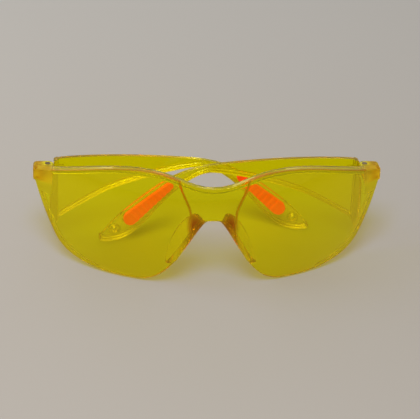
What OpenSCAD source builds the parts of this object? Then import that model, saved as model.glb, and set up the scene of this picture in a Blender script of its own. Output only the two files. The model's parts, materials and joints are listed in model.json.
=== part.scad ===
// Wraparound safety spectacles, folded and standing on the lens's lower edge and a temple tip.
// They are drawn upright, seen from the front: X to the right, Y back towards the wearer and
// Z along the hinge pins, with zero at the tops of the hinge lugs. stand() then leans them back
// on to the floor at z = 0, with the origin under the middle of their box.
// Left and right are as seen from the front.

/* [Lens] */
// Half of the width across the lens's top corners
lens_half_w = 73.2; // [68:0.2:78]
// Depth from the lens's foremost point back to its top corners
wrap_depth = 27; // [23:0.5:31]
// Thickness of the lens
lens_t = 2.2; // [1.8:0.1:2.8]
// Height of the brow peaks above the lug tops
brow_rise = 8.9; // [7:0.1:10]
// Distance of each brow peak from the middle
brow_x = 30; // [27:0.5:34]
// Height of the top edge above the lug tops at the bridge
bridge_rise = 2.6; // [1:0.1:4]
// Depth of the lens's lowest edge below the lug tops
lens_drop = 40.5; // [39:0.5:43]
// Distance of each lowest point from the middle
bottom_x = 30; // [27:0.5:33]
// Half width of the lens where the side edge turns under
side_half_w = 64.2; // [61:0.2:66]
// Depth of that turn below the lug tops
side_drop = 27; // [24:0.5:29]
// Depth to which the lens's side edges are turned back beside the hinges
side_return = 6; // [4:0.5:7]
// Distance from the middle at which the side edges start to turn back
side_start = 38; // [34:1:44]
// Width of the turned back edge, seen from the front
side_wall = 2; // [1.4:0.1:2.6]

/* [Brow and bridge] */
// Thickness of the moulded rim along the brow
rim_t = 3.6; // [2.8:0.1:4.4]
// Height of that rim
rim_h = 2.2; // [1.4:0.1:3]
// Depth of the recess across the bridge, between the two eye zones
bridge_recess = 0.6; // [0.3:0.1:0.9]
// Half width of the recess at the brow
recess_top = 14.5; // [12:0.5:17]
// Half width of the recess above the nose
recess_low = 8.9; // [7.5:0.1:10]

/* [Nose] */
// Depth of the nose opening's top below the lug tops
nose_top = 11; // [9.5:0.5:13]
// Half width of the nose opening near its top
nose_top_half = 5.2; // [4.4:0.1:6.5]
// Depth of the nose opening's lower corners below the lug tops
nose_low = 29.5; // [27:0.5:32]
// Half width of the nose opening at those corners
nose_low_half = 14.5; // [12.5:0.5:16.5]
// Thickness of the nose flanges
flange_t = 1.8; // [1.4:0.1:2.4]
// How far the nose flanges stand back from the lens
flange_reach = 9; // [6:0.5:11]
// Angle by which the nose flanges spread towards the wearer
flange_flare = 18; // [8:1:26]
// Radius of their rounded back edges, seen from the side
flange_round = 13; // [11:0.5:16]

/* [Hinges] */
// Distance of the hinge pins in from the lens's top corners
hinge_inset = 5.7; // [5.2:0.1:6.5]
// Distance of the lens's top corners in front of the hinge pins
hinge_back = 7; // [6:0.5:8.5]
// Radius of the hinge pins
pin_r = 0.7; // [0.6:0.05:0.9]
// Radius of the pin heads
pin_head_r = 1.1; // [1:0.05:1.4]
// Height of the pin heads
pin_head_h = 0.5; // [0.3:0.05:0.7]
// Radius of each lug's rounded inner corner about its pin
lug_r = 2.4; // [2.3:0.05:2.8]
// Distance from each pin to the outer side of its lug
lug_out = 6; // [5.4:0.1:6.8]
// Thickness of each upper ear
ear_top = 1.4; // [1.1:0.1:1.8]
// Thickness of each lower ear
ear_low = 1.2; // [1:0.1:1.6]
// Radius of each temple's knuckle
knuckle_r = 2; // [1.8:0.05:2.1]
// Height of each temple's knuckle
knuckle_h = 1.8; // [1.5:0.1:2.4]

/* [Temples] */
// Straight distance from each hinge pin to its temple's tip
temple_l = 113.4; // [110:0.2:116]
// How far the temples bow outwards over that length
temple_bow = 6; // [4:0.5:8]
// Thickness of the temples
temple_t = 2.2; // [1.8:0.1:2.6]
// Height of the temples' upper edge above the lug tops
temple_rise = 1.9; // [1.4:0.1:2.6]
// Distance from the hinge pin to the middle of the side shield's sloping lower edge
shield_l = 26; // [23:0.5:29]
// Height of that place above the shield's lower corner
shield_slope = 10.5; // [9.6:0.1:11.4]
// Depth of each side shield's lower corner below the lug tops
shield_drop = 24.9; // [22:0.1:26]
// Distance of the front edge's foot from the hinge pin
shield_front = 1.2; // [0.8:0.1:2.2]
// How far the foot of the front edge hangs below that corner
foot_drop = 4.3; // [3:0.1:5]
// Height of the arm at its narrowest
arm_h = 3.6; // [3.2:0.1:4.6]
// Distance from the temple's tip back to that narrowest place
arm_back = 49.4; // [46:0.2:53]
// Depth of the arm's upper edge there below the lug tops
arm_drop = 1.8; // [1:0.1:2.6]
// Width of the temple tips round the grips
tip_w = 9.7; // [9.4:0.1:10.6]
// Depth of the temple tips below the lug tops
tip_drop = 34.2; // [32:0.2:36]
// Thickness of the ribs along the temples' lower and front edges
rib_t = 3.6; // [3:0.1:4.2]
// Height of those ribs
rib_h = 1.8; // [1.2:0.1:2.4]

/* [Grips] */
// Distance from the temple's tip back to the upper end of each grip
grip_back = 30.2; // [29.4:0.2:31.4]
// Depth of that end below the lug tops
grip_drop = 10.5; // [10:0.1:11]
// Angle at which the grips slope down towards the tips
grip_slope = 39.5; // [38:0.5:41]
// Length of each grip
grip_l = 24.6; // [22:0.2:25.6]
// Width of each grip at its upper end
grip_w_top = 3.2; // [2.6:0.1:4]
// Width of each grip at its lower end
grip_w_low = 6.3; // [5.6:0.1:6.9]
// Height of the grips above the middle of the tips round them
grip_high = 0.65; // [0.4:0.05:0.9]
// Height to which the grips stand proud of the temples' inner faces
grip_proud = 1.5; // [0.8:0.1:1.8]
// Height to which they stand proud of the outer faces
grip_back_proud = 0.6; // [0.2:0.1:0.9]
// Number of ridges across each grip
ridge_count = 8; // [4:1:10]
// Height of the ridges
ridge_h = 0.35; // [0.2:0.05:0.5]
// Distance of the cord hole in each temple tip beyond the grip
cord_hole_gap = 5.6; // [5:0.1:6]
// Radius of that hole
cord_hole_r = 1; // [0.8:0.05:1.2]
// Radius of the boss round it
cord_boss_r = 2.2; // [2:0.1:2.6]
// Thickness of that boss
cord_boss_t = 3; // [2.6:0.1:3.6]

/* [Folding] */
// Angle at which the left temple rests behind the right one
fold_left = 3.2; // [2.5:0.1:5]
// Angle at which the right temple rests behind the lens
fold_right = -2.2; // [-3:0.1:-1]

/* [Fits] */
// Radial clearance of the pins in the ears
ear_fit = 0.02; // [0.01:0.01:0.05]
// Radial clearance of the pins in the knuckles
knuckle_fit = 0.06; // [0.03:0.01:0.1]
// Gap between each knuckle and the two ears
side_gap = 0.15; // [0.1:0.05:0.3]
// Gap round each knuckle inside its lug
swing_gap = 0.35; // [0.3:0.05:0.5]
// Gap between each grip and its window
grip_fit = 0.05; // [0.02:0.01:0.1]

/* [Hidden] */
$fn = 128;

hinge_x = lens_half_w - hinge_inset;
arm_s = temple_l - arm_back;
grip_s = temple_l - grip_back;
// Longer than any piece is deep or tall, for cuts that go right through
far = 2 * lens_half_w;

// The lens is a shell of one ball, whose radius follows from its width and its wrap.
ball_r = (lens_half_w * lens_half_w + wrap_depth * wrap_depth) / (2 * wrap_depth);
front_y = -hinge_back - wrap_depth;
ball = [0, front_y + ball_r, (brow_rise - lens_drop) / 2];
function face_y(x, z, r = ball_r) = ball.y - sqrt(r * r - x * x - (z - ball.z) * (z - ball.z));

// Each temple is part of one upright hoop, so its radius follows from its length and its bow.
hoop_r = (temple_l * temple_l / 4 + temple_bow * temple_bow) / (2 * temple_bow);
hoop = [temple_l / 2, temple_bow - hoop_r];
function hoop_y(s) = hoop.y + sqrt(hoop_r * hoop_r - (s - hoop.x) * (s - hoop.x));
function hoop_angle(s) = asin((s - hoop.x) / hoop_r);

// Heights in the hinge, from the lug tops down
slot_h = knuckle_h + 2 * side_gap;
slot_low = -ear_top - slot_h;
lug_low = slot_low - ear_low;
slot_r = knuckle_r + swing_gap;

// How the folded spectacles stand: the lens's lower edge and the left temple's tip touch the floor.
// As they lean back, the lens touches it a little outside its lowest points.
tip_s = temple_l - 4;
foot_y = face_y(bottom_x + 5, -lens_drop, ball_r - lens_t);
tip_y = tip_s * sin(fold_left) + (hoop_y(tip_s) + rib_t / 2) * cos(fold_left);
lean = atan2(lens_drop - tip_drop, tip_y - foot_y);
floor_z = -lens_drop * cos(lean) - foot_y * sin(lean);
nose_y = face_y(nose_low_half, -nose_low);
front_most = nose_y * cos(lean) - nose_low * sin(lean);
rear_most = (temple_l / 2 * sin(fold_left) + (temple_bow + temple_t / 2) * cos(fold_left)) * cos(lean);
middle_y = (front_most + rear_most) / 2;

module stand() {
    translate([0, -middle_y, -floor_z]) rotate([-lean, 0, 0]) children();
}

// Points along a cubic curve from the first to just before the last of four control points
function bend(p, n = 8) = [for (i = [0:n - 1]) let (t = i / n, u = 1 - t)
    u * u * u * p[0] + 3 * u * u * t * p[1] + 3 * u * t * t * p[2] + t * t * t * p[3]];
function flip(list) = [for (i = [len(list) - 1:-1:0]) [-list[i].x, list[i].y]];

// Outline of the lens from the front, from the middle of the brow round to the nose
brow_peak = [brow_x, brow_rise];
top_corner = [lens_half_w - 2, 0.4];
side_top = [lens_half_w, -2.5];
side_turn = [side_half_w, -side_drop];
low_point = [bottom_x, -lens_drop];
nose_corner = [nose_low_half, -nose_low];
nose_shoulder = [nose_top_half, -nose_top - 1.8];
half_lens = concat(
    bend([[0, bridge_rise], [10.8, bridge_rise], brow_peak - [15, 0], brow_peak]),
    bend([brow_peak, brow_peak + [14, 0], top_corner + [-13, 3.1], top_corner]),
    bend([top_corner, top_corner + [1.4, -0.3], side_top + [0.1, 1.5], side_top], 4),
    bend([side_top, side_top + [-3.2, -11.5], side_turn + [2.3, 5], side_turn]),
    bend([side_turn, side_turn + [-3.5, -7], low_point + [22, 0], low_point], 10),
    bend([low_point, low_point - [8, 0], nose_corner + [3.5, -4.5], nose_corner], 8),
    bend([nose_corner, nose_corner + [-3, 5], nose_shoulder + [2.8, -3.7], nose_shoulder], 6),
    bend([nose_shoulder, nose_shoulder + [-1, 1.6], [2.5, -nose_top], [0, -nose_top]], 5));
lens_outline = concat(half_lens, [[0, -nose_top]], flip([for (i = [1:len(half_lens) - 1]) half_lens[i]]));

// Extrudes a front view (x, z) along Y over the whole depth of the spectacles
module from_front() {
    translate([0, far / 2, 0]) rotate([90, 0, 0]) linear_extrude(far) children();
}
module ball_of(r) { translate(ball) sphere(r); }
module shell(outer, thickness) {
    difference() { ball_of(outer); ball_of(outer - thickness); }
}
module both_sides() { children(); mirror([1, 0, 0]) children(); }

module lens_shell() {
    difference() {
        intersection() {
            shell(ball_r, lens_t);
            from_front() polygon(lens_outline);
        }
        // the recess across the bridge leaves the two eye zones standing proud
        difference() {
            from_front() polygon(concat(recess_edge, flip(recess_edge)));
            ball_of(ball_r - bridge_recess);
        }
    }
}
recess_edge = concat(
    [[-recess_top - 1, brow_rise + 4]],
    bend([[-recess_top, brow_rise - 2], [-recess_top + 0.5, 1], [-recess_low - 0.4, -4],
          [-recess_low, -nose_top + 1]], 6),
    [[-recess_low, -nose_top - 12]]);

module brow_rim() {
    intersection() {
        shell(ball_r - bridge_recess, rim_t - bridge_recess);
        from_front() difference() {
            polygon(lens_outline);
            translate([0, -rim_h]) polygon(lens_outline);
            translate([-lens_half_w, -lens_drop - 10]) square([2 * lens_half_w, lens_drop + 7]);
        }
    }
}

// The side edge turns back: seen from above, a straight line behind it starts on the lens's inner
// face and leaves it, so that the edge grows to its full depth towards the hinge
module side_edge() {
    start = [side_start, face_y(side_start, -side_drop, ball_r - lens_t)];
    full = [side_half_w, face_y(side_half_w, -side_drop / 2, ball_r - side_return)];
    intersection() {
        shell(ball_r, side_return);
        translate([0, 0, -2 * lens_drop]) linear_extrude(4 * lens_drop)
            polygon([start, start + 2 * (full - start), [2 * full.x, 2 * front_y], [start.x, 2 * front_y]]);
        from_front() difference() {
            polygon(lens_outline);
            translate([-side_wall, side_wall / 2]) polygon(lens_outline);
            translate([side_start - 2 * lens_half_w, -2 * lens_drop]) square([2 * lens_half_w, 4 * lens_drop]);
        }
    }
}

// One nose flange: a wall along the edge of the nose opening that spreads as it runs back
module nose_flange() {
    edge = concat(
        [nose_corner + [1.4, -2.2]],
        bend([nose_corner, nose_corner + [-3, 5], nose_shoulder + [2.8, -3.7], nose_shoulder], 6),
        bend([nose_shoulder, nose_shoulder + [-0.5, 0.8], nose_shoulder + [-1.2, 1.5],
              [3, -nose_top - 0.1]], 3));
    band = concat(edge, [for (i = [len(edge) - 1:-1:0]) edge[i] + [flange_t, 0.3]]);
    root = [nose_low_half * 0.65, nose_y + lens_t, -(nose_top + nose_low) / 2];
    intersection() {
        translate(root) rotate([0, 0, -flange_flare]) translate(-root) from_front() polygon(band);
        ball_of(ball_r - bridge_recess - 0.3);
        translate([0, root.y + flange_reach - flange_round, root.z]) rotate([0, 90, 0])
            cylinder(r = flange_round, h = far);
    }
}

// The lug of one hinge: a block with a slot for the knuckle and a hole for the pin
module lug_plan() {
    corner = 2;
    // far enough forward to pass through the lens, whose front face trims it
    reach = hinge_back + 9;
    translate([hinge_x, 0]) circle(lug_r);
    translate([hinge_x + lug_out - corner, lug_r - corner]) circle(corner);
    translate([hinge_x, -lug_r]) square([lug_out - corner, 2 * lug_r]);
    translate([hinge_x - lug_r, -reach]) square([lug_out + lug_r, reach + lug_r - corner]);
}
// The slot is open towards the wearer and towards the middle, where the temple swings
module slot_plan() {
    clear = 24;
    translate([hinge_x, 0]) circle(slot_r);
    translate([hinge_x - clear, -slot_r]) square([clear, clear]);
    translate([hinge_x, 0]) square([slot_r, clear]);
}
module lug() {
    difference() {
        intersection() {
            translate([0, 0, lug_low]) linear_extrude(-lug_low) lug_plan();
            ball_of(ball_r);
        }
        translate([0, 0, slot_low]) linear_extrude(slot_h) slot_plan();
    }
}
module pin_hole() {
    translate([hinge_x, 0, lug_low - 1]) cylinder(r = pin_r + ear_fit, h = 2 - lug_low);
    translate([hinge_x, 0, -pin_head_h]) cylinder(r = pin_head_r + ear_fit, h = pin_head_h + 5);
}

module lens() {
    color([0.86, 0.80, 0.05]) difference() {
        union() {
            lens_shell();
            brow_rim();
            both_sides() {
                side_edge();
                nose_flange();
                lug();
            }
        }
        both_sides() pin_hole();
    }
}

// Outline of one temple from its outer side: s runs from the hinge pin to the tip, z is height.
// Each curve leaves its first point in the direction in which the curve before it arrives.
front_top = [lug_r + side_gap, temple_rise - 0.8];
shield_top = [9, temple_rise];
arm_top = [arm_s - 2, -arm_drop];
function at_grip(along, across) = [grip_s, -grip_drop]
    + along * [cos(grip_slope), -sin(grip_slope)] + across * [sin(grip_slope), cos(grip_slope)];
paddle_top = at_grip(grip_l - 4.1, tip_w / 2 - grip_high);
paddle_low = at_grip(grip_l - 9.6, -tip_w / 2 - grip_high);
tip_top = [temple_l - 2.4, -tip_drop + 4.6];
tip_end = [temple_l, -tip_drop + 2];
tip_low = [temple_l - 5, -tip_drop];
arm_low = arm_top + [4, -arm_h];
shield_mid = [shield_l, shield_slope - shield_drop];
shield_corner = [shield_front + 4, -shield_drop];
foot = [shield_front + 1.3, -shield_drop - foot_drop];
shield_edge = [shield_front, -shield_drop];
below_lug = [front_top.x, lug_low - 0.6];
temple_outline = concat(
    bend([front_top, front_top + [0.6, 0.8], shield_top + [-4, 0.1], shield_top], 5),
    bend([shield_top, shield_top + [18, -0.5], arm_top + [-14, 1.2], arm_top], 6),
    bend([arm_top, arm_top + [19, -1.8], paddle_top + [-11, 8.5], paddle_top], 10),
    bend([paddle_top, paddle_top + [3.6, -2.8], tip_top + [-2, 3], tip_top], 5),
    bend([tip_top, tip_top + [1.3, -1.8], tip_end + [0.5, 1], tip_end], 4),
    bend([tip_end, tip_end + [-0.4, -1.5], tip_low + [3, 0], tip_low], 4),
    bend([tip_low, tip_low + [-6, 0], paddle_low + [6.2, -7], paddle_low], 8),
    bend([paddle_low, paddle_low + [-5.8, 7.4], arm_low + [8, 0], arm_low], 10),
    bend([arm_low, arm_low + [-6, 0], shield_mid + [12.5, 4.5], shield_mid], 10),
    bend([shield_mid, shield_mid + [-6, -2.4], shield_corner + [6, 3.2], shield_corner], 6),
    bend([shield_corner, shield_corner + [-1, -2], foot + [1, 0], foot], 4),
    bend([foot, foot + [-1, 0], shield_edge + [0, -2], shield_edge], 4),
    bend([shield_edge, [shield_front, lug_low - 6], [shield_front, lug_low - 2], below_lug], 5),
    [below_lug]);

// A slice of the hoop: a band of the given inner and outer offsets from its middle surface
module hoop_band(inner, outer) {
    translate([hoop.x, hoop.y, -far / 2]) difference() {
        cylinder(r = hoop_r + outer, h = far, $fn = 360);
        translate([0, 0, -1]) cylinder(r = hoop_r + inner, h = far + 2, $fn = 360);
    }
}
module temple_slice(inner, outer) {
    intersection() {
        hoop_band(inner, outer);
        from_front() children();
    }
}

// Outline of one grip: narrow at the top, round and wide at the lower end
module grip_plan(grow = 0) {
    half = grip_w_low / 2 + grow;
    top = grip_w_top / 2 + grow;
    long = grip_l + grow - half;
    translate([grip_s, -grip_drop]) rotate(-grip_slope) {
        polygon([[-grow, -top], [long, -half], [long, half], [-grow, top]]);
        translate([long, 0]) circle(half);
        translate([-grow, 0]) circle(top);
    }
}
module at_cord_hole() {
    at = at_grip(grip_l + cord_hole_gap, 0.4);
    translate([at.x, hoop_y(at.x), at.y]) rotate([90, 0, 180 - hoop_angle(at.x)]) children();
}

// The plate of one temple: both faces are sunk, which leaves ribs along its lower and front edges
module temple_plate() {
    difference() {
        temple_slice(-rib_t / 2, rib_t / 2) polygon(temple_outline);
        for (face = [[temple_t / 2, rib_t], [-rib_t, -temple_t / 2]])
            temple_slice(face[0], face[1]) intersection() {
                translate([0, rib_h]) polygon(temple_outline);
                translate([front_top.x + rib_h, -far / 2]) square([temple_l, far]);
            }
    }
}
module temple() {
    difference() {
        union() {
            temple_plate();
            // knuckle, and the neck that joins it to the shield
            translate([0, 0, -ear_top - side_gap - knuckle_h]) cylinder(r = knuckle_r, h = knuckle_h);
            temple_slice(-1.5, 1.5)
                translate([0, -ear_top - side_gap - knuckle_h]) square([front_top.x + 4, knuckle_h]);
            at_cord_hole() cylinder(r = cord_boss_r, h = cord_boss_t, center = true);
        }
        translate([0, 0, -ear_top - side_gap - knuckle_h - 1])
            cylinder(r = pin_r + knuckle_fit, h = knuckle_h + 2);
        temple_slice(-temple_t, temple_t) grip_plan();
        at_cord_hole() cylinder(r = cord_hole_r, h = 3 * cord_boss_t, center = true);
    }
}

// A soft insert that fills the temple's window and stands proud on the side that meets the head
module grip() {
    temple_slice(-temple_t / 2 - grip_proud, temple_t / 2 + grip_back_proud) grip_plan(-grip_fit);
    pitch = (grip_l - 4) / ridge_count;
    for (i = [0:ridge_count - 1])
        temple_slice(-temple_t / 2 - grip_proud - ridge_h, -temple_t / 2) intersection() {
            grip_plan(-grip_fit);
            translate([grip_s, -grip_drop]) rotate(-grip_slope)
                translate([1 + i * pitch, -grip_w_low]) square([pitch / 2, 2 * grip_w_low]);
        }
}

module left_side(angle) { translate([-hinge_x, 0, 0]) rotate([0, 0, angle]) children(); }
module right_side(angle) { mirror([1, 0, 0]) left_side(angle) children(); }

module temple_left() { color([0.90, 0.84, 0.10]) left_side(fold_left) temple(); }
module temple_right() { color([0.90, 0.84, 0.10]) right_side(fold_right) temple(); }
module grip_left() { color([1.0, 0.38, 0.05]) left_side(fold_left) grip(); }
module grip_right() { color([1.0, 0.38, 0.05]) right_side(fold_right) grip(); }

module hinge_pin() {
    color([0.75, 0.72, 0.66]) {
        translate([0, 0, lug_low]) cylinder(r = pin_r, h = -lug_low - pin_head_h);
        translate([0, 0, -pin_head_h]) cylinder(r = pin_head_r, h = pin_head_h);
    }
}
module hinge_pin_left() { left_side(0) hinge_pin(); }
module hinge_pin_right() { right_side(0) hinge_pin(); }

stand() lens();
stand() temple_left();
stand() temple_right();
stand() grip_left();
stand() grip_right();
stand() hinge_pin_left();
stand() hinge_pin_right();
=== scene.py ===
import json
import math

import bmesh
import bpy
import numpy as np
from mathutils import Matrix, Vector
from mathutils.bvhtree import BVHTree


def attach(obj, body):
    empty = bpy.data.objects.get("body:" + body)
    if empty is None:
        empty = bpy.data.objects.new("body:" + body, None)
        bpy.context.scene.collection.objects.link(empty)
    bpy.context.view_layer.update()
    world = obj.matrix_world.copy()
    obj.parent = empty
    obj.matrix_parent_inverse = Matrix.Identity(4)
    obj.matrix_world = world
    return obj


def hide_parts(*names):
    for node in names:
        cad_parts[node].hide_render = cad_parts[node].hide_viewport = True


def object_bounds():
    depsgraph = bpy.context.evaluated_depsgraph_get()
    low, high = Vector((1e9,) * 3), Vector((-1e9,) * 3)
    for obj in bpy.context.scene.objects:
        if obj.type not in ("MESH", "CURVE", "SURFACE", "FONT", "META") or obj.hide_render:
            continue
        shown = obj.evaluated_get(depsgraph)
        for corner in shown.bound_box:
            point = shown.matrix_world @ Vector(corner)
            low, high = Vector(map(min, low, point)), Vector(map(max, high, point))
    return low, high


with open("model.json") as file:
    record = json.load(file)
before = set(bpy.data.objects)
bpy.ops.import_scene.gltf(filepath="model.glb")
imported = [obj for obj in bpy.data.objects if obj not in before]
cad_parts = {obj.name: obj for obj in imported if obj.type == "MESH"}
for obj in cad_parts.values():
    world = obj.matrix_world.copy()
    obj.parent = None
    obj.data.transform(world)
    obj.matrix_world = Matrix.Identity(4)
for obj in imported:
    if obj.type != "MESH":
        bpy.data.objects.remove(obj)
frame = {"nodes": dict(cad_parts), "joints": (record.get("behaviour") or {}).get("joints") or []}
cad_low, cad_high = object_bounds()

# Sizes are in millimetres here, as in the part's source, and are turned into metres by MM.
MM = 0.001

# The lens's ball and the steps of its wall, as in the part's source
LENS_HALF_W, WRAP_DEPTH, HINGE_BACK = 73.2, 27.0, 7.0
BROW_RISE, LENS_DROP, LENS_T = 8.9, 40.5, 2.2
BRIDGE_RECESS, RIM_T, SIDE_RETURN = 0.6, 3.6, 6.0
BALL_R = (LENS_HALF_W ** 2 + WRAP_DEPTH ** 2) / (2 * WRAP_DEPTH)
BALL = Vector((0, BALL_R - HINGE_BACK - WRAP_DEPTH, (BROW_RISE - LENS_DROP) / 2))
BALL_FACES = [BALL_R - depth for depth in (0, BRIDGE_RECESS, LENS_T, RIM_T, SIDE_RETURN)]

# The lens's mesh: the size of its cells, the rounds of smoothing that round its edges, how near
# to one of the ball's faces a point is brought on to it, and the rounds of smoothing after that
LENS_GRAIN, EDGE_ROUNDS, PRESS_REACH, EVEN_ROUNDS = 0.26, 9, 0.3, 3

# The temples' and grips' meshes: how far their edges are rounded, in how many steps and from how
# many degrees up, and what counts as one point and, in degrees, as one flat face
TEMPLE_ROUNDING, GRIP_ROUNDING, ROUNDING_STEPS, SHARP_FROM = 0.3, 0.25, 3, 22
SAME_POINT, FLAT_WITHIN = 0.002, 0.2

# How far light is followed inside the plastic and from how far under its surface, and the rounds
# that even the depths out
LONG_WAY, JUST_INSIDE, DEPTH_ROUNDS = 30.0, 0.02, 6

# Where the wall steps down from the eye zones to the bridge, which is painted as a thin dark line
# of painted shade: between the lugs, and by more than this off both faces
BETWEEN_LUGS, STEP_MARGIN = 66, 0.1
# The nose flanges lie within this of the middle. From FLANGE_END up, their painted tint and shade
# grows to its full strength over FLANGE_FADE.
NOSE_HALF_W, FLANGE_END, FLANGE_FADE, LEAST_TINT_AND_SHADE = 22, -25, 6, 0.05

# The middle of the painted brown shade at the flange roots, its reaches across and up, and the
# shares of them between which it fades
FLANGE_ROOT, ROOT_ACROSS, ROOT_UP = Vector((7.0, -34, -14.2)), 2.778, 4.0
ROOT_INNER, ROOT_OUTER = 0.6, 1.5

# The roughness that the lugs have beyond the lens's, and where it sets in across and upwards
LUG_ROUGHNESS, LUGS_ACROSS, LUGS_UP = 0.5, (64, 67), (27, 30)

# The clear plastic: its look where it is thin, the darker colour painted in deep places, partly
# its deeper tint and partly painted shade, and what it swallows
THIN_YELLOW, LENS_DEEP_SHADE, TEMPLE_DEEP_SHADE = (1, 0.98, 0.03, 1), (0.66, 0.27, 0, 1), (0.8, 0.68, 0, 1)
LENS_DEPTHS, TEMPLE_DEPTHS, EDGE_ROUGHNESS = (3.0, 11.0), (2.4, 4.6), 0.35
BODY_YELLOW, BODY_DENSITY = (0.998, 0.99, 0, 1), 2600
SHEEN, REFRACTION, CLEAR_SHARE = (1, 0.9, 0.12, 1), 1.58, 0.94
LAMPLIGHT_LET_THROUGH = (0.905, 0.897, 0.38, 1)

# The camera, set from the photograph while the spectacles are thought of as upright
VIEW_DOWN, VIEW_ROUND, VIEW_TILT = 26.321, 6.022, 2.52
VIEW_AWAY = 600.0
LOOK_RIGHT, LOOK_UP = 0.946, -19.735
PICTURE_W = 420
FOCUS_PIXELS = 1414.56
SENSOR_W = 36.0
NEAR_LIMIT, FAR_LIMIT = 0.05, 20

# Each lamp's name, place in metres, width, power and colour. All point at AIM.
WHITE, WARM = (1, 1, 1), (1, 0.86, 0.66)
LAMPS = (
    ("ceiling", (-0.12, -0.3, 0.9), 0.42, 5.1, WHITE),
    ("left window", (-0.5, 0.1, 0.35), 0.25, 0.75, WHITE),
    ("rear window", (-0.45, 1.2, 0.6), 0.6, 1.9, WARM),
    ("rear window", (0.45, 1.2, 0.6), 0.6, 1.3, WARM),
)
AIM = Vector((0, 0, 0.02))
SKY, SKY_STRENGTH = (0.95, 0.97, 1, 1), 0.3
FLOOR_HALF_W = 4.0

# Places of the Mix node's sockets for colours, which share their names with those for values
MIX_SHARE, MIX_FIRST, MIX_SECOND, MIX_RESULT = 0, 6, 7, 2


def hinge_frame():
    """Turns upright coordinates in millimetres, with zero midway between the hinge pins at
    their lug tops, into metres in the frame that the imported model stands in."""
    pins = [Vector(j["pos_m"]) for j in frame["joints"]]
    up = Vector(frame["joints"][0]["axis"])
    if up.z < 0:
        up = -up
    right = Vector((1, 0, 0))
    back = up.cross(right)
    turn = Matrix((right, back, up)).transposed().to_4x4()
    return Matrix.Translation((pins[0] + pins[1]) / 2) @ turn @ Matrix.Scale(MM, 4)


UPRIGHT = hinge_frame()


# Shapes -----------------------------------------------------------------------------------

def link(piece):
    bpy.context.scene.collection.objects.link(piece)
    return piece


def settle(piece):
    """Puts the piece's mesh with its modifiers applied in the place of its mesh."""
    depsgraph = bpy.context.evaluated_depsgraph_get()
    mesh = bpy.data.meshes.new_from_object(piece.evaluated_get(depsgraph))
    piece.modifiers.clear()
    piece.data = mesh


def relax(piece, rounds):
    """Rounds edges and takes small waves out of them."""
    smooth = piece.modifiers.new("round edges", "SMOOTH")
    smooth.factor = 0.5
    smooth.iterations = rounds
    settle(piece)


def recast(node, name, grain, rounds):
    """A CAD node's solid in a fine even mesh, whose edges are rounded as a moulding's are."""
    piece = link(bpy.data.objects.new(name, frame["nodes"][node].data.copy()))
    piece.data.materials.clear()
    remesh = piece.modifiers.new("fine mesh", "REMESH")
    remesh.mode = "VOXEL"
    remesh.voxel_size = grain * MM
    remesh.use_smooth_shade = True
    relax(piece, rounds)
    piece.data.name = name
    return piece


def read_points(piece):
    """The piece's points in upright millimetres."""
    points = np.empty(len(piece.data.vertices) * 3)
    piece.data.vertices.foreach_get("co", points)
    inverse = np.array(UPRIGHT.inverted())
    return points.reshape(-1, 3) @ inverse[:3, :3].T + inverse[:3, 3]


def write_points(piece, points):
    matrix = np.array(UPRIGHT)
    piece.data.vertices.foreach_set("co", (points @ matrix[:3, :3].T + matrix[:3, 3]).ravel())
    piece.data.update()


def press(distance, surfaces):
    """How far to move points at this distance from a centre, so that those near one of the
    surfaces come to lie on it. The move fades out over the reach, which keeps edges round."""
    move = np.zeros_like(distance)
    for surface in surfaces:
        gap = surface - distance
        nearness = np.clip(1 - np.abs(gap) / PRESS_REACH, 0, 1)
        move += gap * nearness * nearness * (3 - 2 * nearness)
    return move


def true_to_ball(piece, surfaces):
    """Brings the lens's faces exactly on to the ball that it is part of."""
    points = read_points(piece)
    out = points - np.array(BALL)
    distance = np.linalg.norm(out, axis=1)
    points += out * (press(distance, surfaces) / distance)[:, None]
    write_points(piece, points)
    relax(piece, EVEN_ROUNDS)


def keep_width(piece, node):
    """Takes off the few hundredths of a millimetre by which the new mesh is wider than the
    node's solid. Returns the piece's points."""
    half_width = max(corner.co.x for corner in frame["nodes"][node].data.vertices) / MM
    points = read_points(piece)
    points[:, 0] = points[:, 0].clip(-half_width, half_width)
    write_points(piece, points)
    return points


def moulded(node, name, rounding):
    """A CAD node's own faces, with every sharp edge rounded as a moulding's is."""
    form = bmesh.new()
    form.from_mesh(frame["nodes"][node].data)
    bmesh.ops.remove_doubles(form, verts=form.verts, dist=SAME_POINT * MM)
    bmesh.ops.dissolve_limit(form, angle_limit=math.radians(FLAT_WITHIN), verts=form.verts,
                             edges=form.edges)
    for face in form.faces:
        face.smooth = True
    mesh = bpy.data.meshes.new(name)
    form.to_mesh(mesh)
    form.free()
    # The solid's own normals no longer fit, and would undo the rounding's shading.
    for layer in [a for a in mesh.attributes if a.name == "custom_normal"]:
        mesh.attributes.remove(layer)
    piece = link(bpy.data.objects.new(name, mesh))
    bevel = piece.modifiers.new("round edges", "BEVEL")
    bevel.width = rounding * MM
    bevel.segments = ROUNDING_STEPS
    bevel.limit_method = "ANGLE"
    bevel.angle_limit = math.radians(SHARP_FROM)
    bevel.use_clamp_overlap = False
    bevel.harden_normals = True
    settle(piece)
    piece.data.name = name
    return piece


def reach_inside(tree, place, inward):
    """How far the plastic reaches straight in from a place on its surface, in millimetres.
    Light that comes out there has run about that far inside it."""
    reach = tree.ray_cast(place + inward * (JUST_INSIDE * MM), inward, LONG_WAY * MM)[3]
    return LONG_WAY if reach is None else reach / MM


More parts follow.
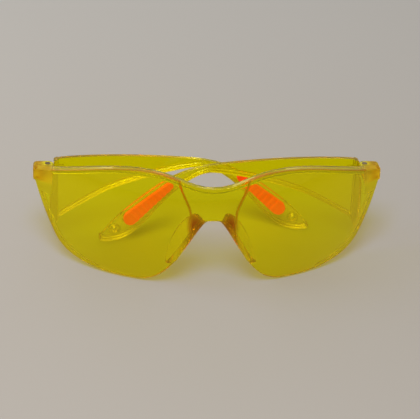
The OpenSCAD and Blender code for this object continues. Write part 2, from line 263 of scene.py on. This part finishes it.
def depths_at_points(piece, deepest, shares_of_depth):
    """The plastic's reach at each point, evened out with the points next to it. Where deepest is
    true the reach is the longest, so that those points are painted dark as painted shade, and it
    is multiplied by the given shares."""
    tree = BVHTree.FromObject(piece, bpy.context.evaluated_depsgraph_get())
    mesh = piece.data
    depths = np.array([reach_inside(tree, point.co, -point.normal) for point in mesh.vertices])
    depths[deepest] = LONG_WAY
    depths *= shares_of_depth
    ends = np.empty(len(mesh.edges) * 2, dtype=int)
    mesh.edges.foreach_get("vertices", ends)
    one, other = ends.reshape(-1, 2).T
    count = len(depths)
    shares = 1 + np.bincount(one, minlength=count) + np.bincount(other, minlength=count)
    for _ in range(DEPTH_ROUNDS):
        depths = (depths + np.bincount(one, depths[other], count)
                  + np.bincount(other, depths[one], count)) / shares
    return depths


def depths_at_faces(piece):
    """The plastic's reach at each face, taken at the middle of its largest triangle."""
    tree = BVHTree.FromObject(piece, bpy.context.evaluated_depsgraph_get())
    mesh = piece.data
    mesh.calc_loop_triangles()
    depths, largest = np.zeros(len(mesh.polygons)), np.zeros(len(mesh.polygons))
    for part in mesh.loop_triangles:
        face = part.polygon_index
        if part.area > largest[face]:
            largest[face] = part.area
            middle = sum((mesh.vertices[i].co for i in part.vertices), Vector()) / 3
            depths[face] = reach_inside(tree, middle, -part.normal)
    return depths


def note_depths(piece, domain, depths):
    piece.data.attributes.new("depth inside", "FLOAT", domain).data.foreach_set("value", depths)


# Materials --------------------------------------------------------------------------------

def new_material(name):
    material = bpy.data.materials.new(name)
    material.use_nodes = True
    tree = material.node_tree
    tree.nodes.clear()
    return material, tree


def new_group(name, inputs, outputs):
    """A node group, with its inputs' values. An input whose value is a tuple, and an output
    named Colour, is a colour."""
    group = bpy.data.node_groups.new(name, "ShaderNodeTree")
    for socket, value in inputs.items():
        kind = "NodeSocketColor" if isinstance(value, tuple) else "NodeSocketFloat"
        group.interface.new_socket(socket, in_out="INPUT", socket_type=kind).default_value = value
    for socket in outputs:
        kind = "NodeSocketColor" if socket == "Colour" else "NodeSocketFloat"
        group.interface.new_socket(socket, in_out="OUTPUT", socket_type=kind)
    return group


def add(tree, kind, values=None, **settings):
    """A new shader node with these settings, and these values on its inputs."""
    node = tree.nodes.new("ShaderNode" + kind)
    for name, setting in settings.items():
        setattr(node, name, setting)
    for socket, value in (values or {}).items():
        node.inputs[socket].default_value = value
    return node


def wire(tree, source, output, target, socket):
    tree.links.new(source.outputs[output], target.inputs[socket])


def colours(tree, low, high, spots=(0, 1)):
    """A colour ramp with two colours at the given spots."""
    ramp = add(tree, "ValToRGB")
    for element, colour, spot in zip(ramp.color_ramp.elements, (low, high), spots):
        element.color, element.position = colour, spot
    return ramp


def finish_material(tree, shader, output):
    out = add(tree, "OutputMaterial")
    wire(tree, shader, output, out, "Surface")
    return out


def handling_marks():
    """Faint smudges and hairline scratches, as a roughness and a height."""
    group = new_group("handling marks",
                      {"Smudge size": 60.0, "Base roughness": 0.03, "Smudge": 0.05},
                      ("Roughness", "Height"))
    into, out = group.nodes.new("NodeGroupInput"), group.nodes.new("NodeGroupOutput")
    place = add(group, "TexCoord")
    smudge = add(group, "TexNoise", {"Detail": 5})
    wire(group, place, "Object", smudge, "Vector")
    wire(group, into, "Smudge size", smudge, "Scale")
    added = add(group, "Math")
    wire(group, into, "Base roughness", added, 0)
    wire(group, into, "Smudge", added, 1)
    spread = add(group, "MapRange", {"From Min": 0.45, "From Max": 0.75})
    wire(group, smudge, "Fac", spread, "Value")
    wire(group, into, "Base roughness", spread, "To Min")
    wire(group, added, "Value", spread, "To Max")
    wire(group, spread, "Result", out, "Roughness")
    stretch = add(group, "Mapping", {"Scale": (30, 900, 900), "Rotation": (0.3, 0.5, 0.9)})
    wire(group, place, "Object", stretch, "Vector")
    scratch = add(group, "TexNoise", {"Scale": 1, "Detail": 2})
    wire(group, stretch, "Vector", scratch, "Vector")
    wire(group, scratch, "Fac", out, "Height")
    return group


def depth_tint_and_shade():
    """The colour painted on the plastic by how far it reaches in: thin places keep the first
    colour, and places that reach far in take the second, darker one and are rougher. The
    darkening is partly the plastic's deeper tint over long paths and partly painted shade."""
    group = new_group("depth tint and painted shade",
                      {"Thin": THIN_YELLOW, "Deep": LENS_DEEP_SHADE, "Thin up to": LENS_DEPTHS[0],
                       "Deep from": LENS_DEPTHS[1], "Edge roughness": EDGE_ROUGHNESS,
                       "Painted dark patch": 0.0},
                      ("Colour", "Roughness"))
    into, out = group.nodes.new("NodeGroupInput"), group.nodes.new("NodeGroupOutput")
    depth = add(group, "Attribute", attribute_name="depth inside")
    share = add(group, "MapRange")
    wire(group, depth, "Fac", share, "Value")
    wire(group, into, "Thin up to", share, "From Min")
    wire(group, into, "Deep from", share, "From Max")
    thicker = add(group, "Math", operation="MAXIMUM")
    wire(group, share, "Result", thicker, 0)
    wire(group, into, "Painted dark patch", thicker, 1)
    blend = add(group, "Mix", data_type="RGBA")
    wire(group, thicker, "Value", blend, MIX_SHARE)
    wire(group, into, "Thin", blend, MIX_FIRST)
    wire(group, into, "Deep", blend, MIX_SECOND)
    wire(group, blend, MIX_RESULT, out, "Colour")
    satin = add(group, "Math", operation="MULTIPLY")
    wire(group, share, "Result", satin, 0)
    wire(group, into, "Edge roughness", satin, 1)
    wire(group, satin, "Value", out, "Roughness")
    return group


def mirrored_place(group):
    """The place in the frame, with the left half taken as the right one."""
    place = add(group, "TexCoord")
    mirrored = add(group, "VectorMath", operation="ABSOLUTE")
    wire(group, place, "Object", mirrored, 0)
    return mirrored


def flange_root_painted_shade():
    """A painted dark patch where the nose flanges grow out of the lens: painted shade, standing
    in for how dark the thick plastic there looks."""
    group = new_group("flange roots", {}, ("Painted dark patch",))
    off = add(group, "VectorMath", {1: UPRIGHT @ FLANGE_ROOT}, operation="SUBTRACT")
    wire(group, mirrored_place(group), "Vector", off, 0)
    in_reaches = add(group, "VectorMath", {1: (1 / (ROOT_ACROSS * MM), 0, 1 / (ROOT_UP * MM))},
                     operation="MULTIPLY")
    wire(group, off, "Vector", in_reaches, 0)
    far = add(group, "VectorMath", operation="LENGTH")
    wire(group, in_reaches, "Vector", far, 0)
    fade = add(group, "MapRange", {"From Min": ROOT_OUTER, "From Max": ROOT_INNER})
    wire(group, far, "Value", fade, "Value")
    wire(group, fade, "Result", group.nodes.new("NodeGroupOutput"), "Painted dark patch")
    return group


def lug_haze():
    """The hinge lugs are less polished than the lens, which softens what shows in them."""
    group = new_group("lug haze", {}, ("Roughness",))
    axes = add(group, "SeparateXYZ")
    wire(group, mirrored_place(group), "Vector", axes, "Vector")
    both = add(group, "Math", operation="MULTIPLY")
    for number, axis, (clear, hazy), most in ((0, "X", LUGS_ACROSS, LUG_ROUGHNESS),
                                              (1, "Z", LUGS_UP, 1)):
        fade = add(group, "MapRange",
                   {"From Min": clear * MM, "From Max": hazy * MM, "To Max": most})
        wire(group, axes, axis, fade, "Value")
        wire(group, fade, "Result", both, number)
    wire(group, both, "Value", group.nodes.new("NodeGroupOutput"), "Roughness")
    return group


MARKS = handling_marks()
TINT_AND_SHADE = depth_tint_and_shade()


def clear_yellow(name, depths, deep, roughness, smudge, is_lens=False):
    """Clear plastic coloured all through: it swallows blue at once and green over a few
    millimetres. Thick places and long paths inside it are painted orange and brown, partly its
    deeper tint there and partly painted shade; it takes the deep colour between the two depths.
    The lens has its painted shade at the flange roots and its rougher lugs besides."""
    material, tree = new_material(name)
    surface = add(tree, "BsdfPrincipled", {"IOR": REFRACTION, "Specular Tint": SHEEN,
                                           "Transmission Weight": CLEAR_SHARE})
    # Painted shade: the base colour darkens where the plastic reaches far in, partly the
    # plastic's own deeper tint.
    tint = add(tree, "Group", {"Thin up to": depths[0], "Deep from": depths[1], "Deep": deep},
               node_tree=TINT_AND_SHADE)
    wire(tree, tint, "Colour", surface, "Base Color")
    marks = add(tree, "Group", {"Base roughness": roughness, "Smudge": smudge}, node_tree=MARKS)
    rough = add(tree, "Math")
    wire(tree, marks, "Roughness", rough, 0)
    wire(tree, tint, "Roughness", rough, 1)
    if is_lens:
        # Painted shade: a dark brown patch at the flange roots.
        root_shade = add(tree, "Group", node_tree=flange_root_painted_shade())
        wire(tree, root_shade, "Painted dark patch", tint, "Painted dark patch")
        haze = add(tree, "Group", node_tree=lug_haze())
        rougher = add(tree, "Math")
        wire(tree, rough, "Value", rougher, 0)
        wire(tree, haze, "Roughness", rougher, 1)
        rough = rougher
    wire(tree, rough, "Value", surface, "Roughness")
    bump = add(tree, "Bump", {"Strength": 0.02, "Distance": 0.05 * MM})
    wire(tree, marks, "Height", bump, "Height")
    wire(tree, bump, "Normal", surface, "Normal")

    # Lamps shine straight through, so that the shadow is tinted and not black.
    rays = add(tree, "LightPath")
    open_to_lamps = add(tree, "BsdfTransparent", {"Color": LAMPLIGHT_LET_THROUGH})
    shader, output = surface, "BSDF"
    for ray in ("Is Shadow Ray", "Is Diffuse Ray"):
        mix = add(tree, "MixShader")
        wire(tree, rays, ray, mix, "Fac")
        wire(tree, shader, output, mix, 1)
        wire(tree, open_to_lamps, "BSDF", mix, 2)
        shader, output = mix, "Shader"
    out = finish_material(tree, shader, output)
    body = add(tree, "VolumeAbsorption", {"Color": BODY_YELLOW, "Density": BODY_DENSITY})
    wire(tree, body, "Volume", out, "Volume")
    return material


def orange_with_painted_glow():
    """The opaque orange rubber of the grips, slightly mottled and dull. Its emission is painted
    light, a faint glow that stands in for its fluorescent pigment giving back more red than falls
    on it."""
    material, tree = new_material("orange grip rubber with painted glow")
    # Emission here is painted light: the grips glow though they are no lamp.
    surface = add(tree, "BsdfPrincipled", {
        "Roughness": 0.55, "Emission Color": (1, 0.09, 0, 1), "Emission Strength": 0.33})
    place = add(tree, "TexCoord")
    mottle = add(tree, "TexNoise", {"Scale": 260, "Detail": 4})
    wire(tree, place, "Object", mottle, "Vector")
    shade = colours(tree, (0.95, 0.042, 0, 1), (1, 0.07, 0.001, 1), (0.3, 0.7))
    wire(tree, mottle, "Fac", shade, "Fac")
    wire(tree, shade, "Color", surface, "Base Color")
    grain = add(tree, "TexNoise", {"Scale": 2500})
    wire(tree, place, "Object", grain, "Vector")
    bump = add(tree, "Bump", {"Strength": 0.25, "Distance": 0.1 * MM})
    wire(tree, grain, "Fac", bump, "Height")
    wire(tree, bump, "Normal", surface, "Normal")
    finish_material(tree, surface, "BSDF")
    return material


def pin_steel():
    """The hinge pins' dull steel, mottled by handling."""
    material, tree = new_material("pin steel")
    surface = add(tree, "BsdfPrincipled", {"Metallic": 1})
    place = add(tree, "TexCoord")
    grain = add(tree, "TexNoise", {"Scale": 1500})
    wire(tree, place, "Object", grain, "Vector")
    shade = colours(tree, (0.13, 0.1, 0.07, 1), (0.34, 0.28, 0.2, 1))
    wire(tree, grain, "Fac", shade, "Fac")
    wire(tree, shade, "Color", surface, "Base Color")
    rough = add(tree, "MapRange", {"To Min": 0.3, "To Max": 0.5})
    wire(tree, grain, "Fac", rough, "Value")
    wire(tree, rough, "Result", surface, "Roughness")
    finish_material(tree, surface, "BSDF")
    return material


def pale_floor_painted_lighter_back():
    """Matt paper in two near tones. Farther back it is painted lighter and cooler, which is
    painted light.
    """
    material, tree = new_material("pale floor painted lighter farther back")
    surface = add(tree, "BsdfPrincipled", {"Roughness": 0.8, "Specular IOR Level": 0.1})
    place = add(tree, "TexCoord")
    cloud = add(tree, "TexNoise", {"Scale": 3})
    wire(tree, place, "Object", cloud, "Vector")
    shade = colours(tree, (0.47, 0.43, 0.385, 1), (0.5, 0.457, 0.41, 1))
    wire(tree, cloud, "Fac", shade, "Fac")
    # Painted light: the floor turns lighter and cooler farther back.
    axes = add(tree, "SeparateXYZ")
    wire(tree, place, "Object", axes, "Vector")
    back = add(tree, "MapRange", {"From Min": 0, "From Max": 0.25})
    wire(tree, axes, "Y", back, "Value")
    blend = add(tree, "Mix", data_type="RGBA")
    blend.inputs[MIX_SECOND].default_value = (0.53, 0.51, 0.478, 1)
    wire(tree, back, "Result", blend, MIX_SHARE)
    wire(tree, shade, "Color", blend, MIX_FIRST)
    wire(tree, blend, MIX_RESULT, surface, "Base Color")
    finish_material(tree, surface, "BSDF")
    return material


# Pieces -----------------------------------------------------------------------------------

def make_lens():
    lens = recast("lens", "wrap_lens", LENS_GRAIN, EDGE_ROUNDS)
    true_to_ball(lens, BALL_FACES)
    points = keep_width(lens, "lens")
    lens.data.materials.append(clear_yellow("clear yellow lens", LENS_DEPTHS, LENS_DEEP_SHADE,
                                            roughness=0.02, smudge=0.04, is_lens=True))
    across = np.abs(points[:, 0])
    below_face = BALL_R - np.linalg.norm(points - np.array(BALL), axis=1)
    # Painted shade: the wall's step is given the longest reach, so it shows as a thin dark line.
    painted_step_line = ((below_face > STEP_MARGIN) & (below_face < BRIDGE_RECESS - STEP_MARGIN)
            & (across < BETWEEN_LUGS))
    up_the_flange = np.clip((points[:, 2] - FLANGE_END) / FLANGE_FADE, LEAST_TINT_AND_SHADE, 1)
    tint_and_shade_shares = np.where(across < NOSE_HALF_W, up_the_flange, 1)
    note_depths(lens, "POINT", depths_at_points(lens, painted_step_line, tint_and_shade_shares))
    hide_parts("lens")
    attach(lens, "front")


def make_temple(name, body, material):
    temple = moulded(name, name + "_moulding", TEMPLE_ROUNDING)
    temple.data.materials.append(material)
    note_depths(temple, "FACE", depths_at_faces(temple))
    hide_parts(name)
    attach(temple, body)


def make_grip(name, body, material):
    grip = moulded(name, name + "_insert", GRIP_ROUNDING)
    grip.data.materials.append(material)
    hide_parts(name)
    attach(grip, body)


def dress_pin(name, material):
    pin = frame["nodes"][name]
    pin.data.materials.clear()
    pin.data.materials.append(material)


make_lens()
# The temples' dark olive deep colour is painted shade on their thick ribs and edges.
temple_plastic = clear_yellow("clear yellow temple", TEMPLE_DEPTHS, TEMPLE_DEEP_SHADE,
                              roughness=0.03, smudge=0.05)
make_temple("temple_left", "left_temple", temple_plastic)
make_temple("temple_right", "right_temple", temple_plastic)
grip_rubber_glowing = orange_with_painted_glow()
make_grip("grip_left", "left_temple", grip_rubber_glowing)
make_grip("grip_right", "right_temple", grip_rubber_glowing)
steel = pin_steel()
dress_pin("hinge_pin_left", steel)
dress_pin("hinge_pin_right", steel)


# Studio -----------------------------------------------------------------------------------

def make_floor():
    half = FLOOR_HALF_W
    mesh = bpy.data.meshes.new("floor")
    mesh.from_pydata([(-half, -half, 0), (half, -half, 0), (half, half, 0), (-half, half, 0)],
                     [], [(0, 1, 2, 3)])
    floor = link(bpy.data.objects.new("floor", mesh))
    floor.location.z = cad_low.z
    mesh.materials.append(pale_floor_painted_lighter_back())


def soft_lamp(name, place, size, power, tint):
    data = bpy.data.lights.new(name, "AREA")
    data.shape = "SQUARE"
    data.size = size
    data.energy = power
    data.color = tint
    lamp = link(bpy.data.objects.new(name, data))
    lamp.location = place
    lamp.rotation_euler = (AIM - Vector(place)).to_track_quat("-Z", "Y").to_euler()
    # Seen through the thick edges, the brighter lamps would leave streaks of pure yellow.
    lamp.visible_transmission = name == "rear window"


def make_world():
    world = bpy.data.worlds.new("studio")
    bpy.context.scene.world = world
    world.use_nodes = True
    sky = world.node_tree.nodes["Background"]
    sky.inputs["Color"].default_value = SKY
    sky.inputs["Strength"].default_value = SKY_STRENGTH


def make_camera():
    down, around, tilt = (math.radians(a) for a in (VIEW_DOWN, VIEW_ROUND, VIEW_TILT))
    ahead = Vector((math.sin(around) * math.cos(down), math.cos(around) * math.cos(down),
                    -math.sin(down)))
    level = Vector((math.cos(around), -math.sin(around), 0))
    above = level.cross(ahead)
    right = math.cos(tilt) * level + math.sin(tilt) * above
    top = -math.sin(tilt) * level + math.cos(tilt) * above
    eye = LOOK_RIGHT * right + LOOK_UP * top - VIEW_AWAY * ahead
    data = bpy.data.cameras.new("camera")
    data.sensor_width = SENSOR_W
    data.lens = FOCUS_PIXELS * SENSOR_W / PICTURE_W
    data.clip_start, data.clip_end = NEAR_LIMIT, FAR_LIMIT
    camera = link(bpy.data.objects.new("camera", data))
    turn = Matrix((right, top, -ahead)).transposed()
    camera.matrix_world = Matrix.Translation(UPRIGHT @ eye) @ (
        UPRIGHT.to_3x3().normalized() @ turn).to_4x4()
    bpy.context.scene.camera = camera


make_floor()
make_world()
for lamp_settings in LAMPS:
    soft_lamp(*lamp_settings)
make_camera()
# Light that is caught inside an edge is followed far enough to come out coloured, not black.
paths = bpy.context.scene.cycles
paths.max_bounces, paths.glossy_bounces, paths.transmission_bounces = 20, 14, 18
paths.transparent_max_bounces = 24
bpy.context.scene.view_settings.view_transform = "Standard"
